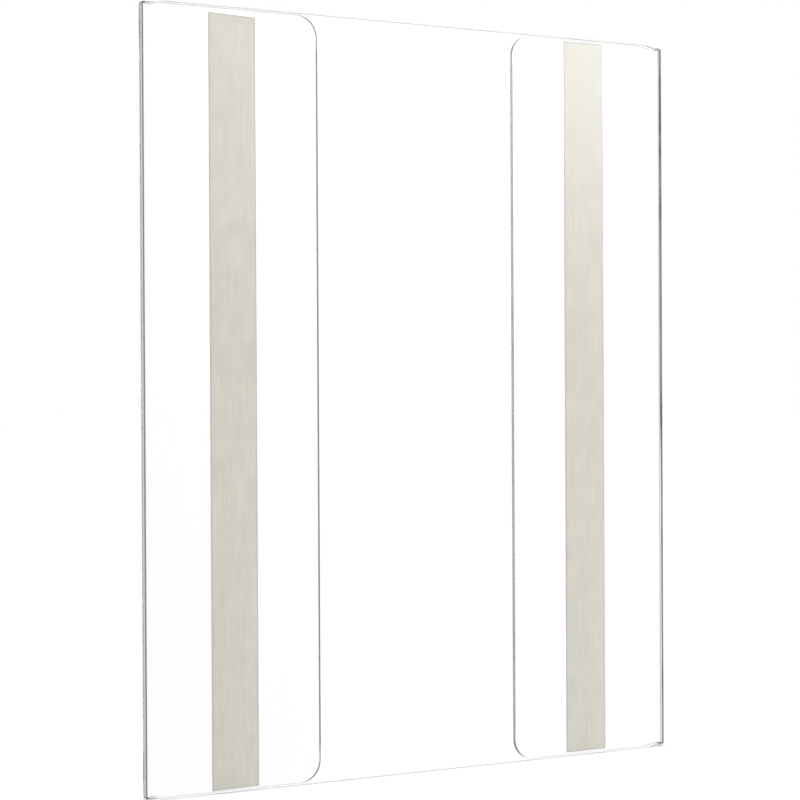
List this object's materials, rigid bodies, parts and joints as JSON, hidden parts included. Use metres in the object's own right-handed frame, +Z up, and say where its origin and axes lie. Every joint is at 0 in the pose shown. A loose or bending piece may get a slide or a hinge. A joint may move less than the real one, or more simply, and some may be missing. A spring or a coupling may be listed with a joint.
{
  "type": "wall sign holder",
  "caption": "Clear acrylic wall sign holder: a sheet folded back at both sides into a shallow pocket for a letter-size insert, with tape strips on its back flaps.",
  "frame": {"origin": "middle of the wall plane: mid width and mid height of the holder, on the outer faces of the release liners", "axes": "+Z up, +Y towards the wall, +X to the right as seen from the front"},
  "size_m": [0.221, 0.0055, 0.2794],
  "materials": {
    "clear_acrylic": "clear, polished",
    "adhesive": "tacky, translucent",
    "tape_carrier": "film",
    "release_liner": "satin, silicone coated"
  },
  "bodies": {
    "holder": {"folded_panel": "clear_acrylic", "left_panel_adhesive": "adhesive", "left_carrier": "tape_carrier", "left_wall_adhesive": "adhesive", "right_panel_adhesive": "adhesive", "right_carrier": "tape_carrier", "right_wall_adhesive": "adhesive"},
    "left_liner": {"left_liner": "release_liner"},
    "right_liner": {"right_liner": "release_liner"}
  },
  "joints": [
    {"name": "left_liner_release", "type": "slide", "parent": "holder", "child": "left_liner", "axis": [0, 1, 0], "range_m": [0, 0.04]},
    {"name": "right_liner_release", "type": "slide", "parent": "holder", "child": "right_liner", "axis": [0, 1, 0], "range_m": [0, 0.04]}
  ]
}
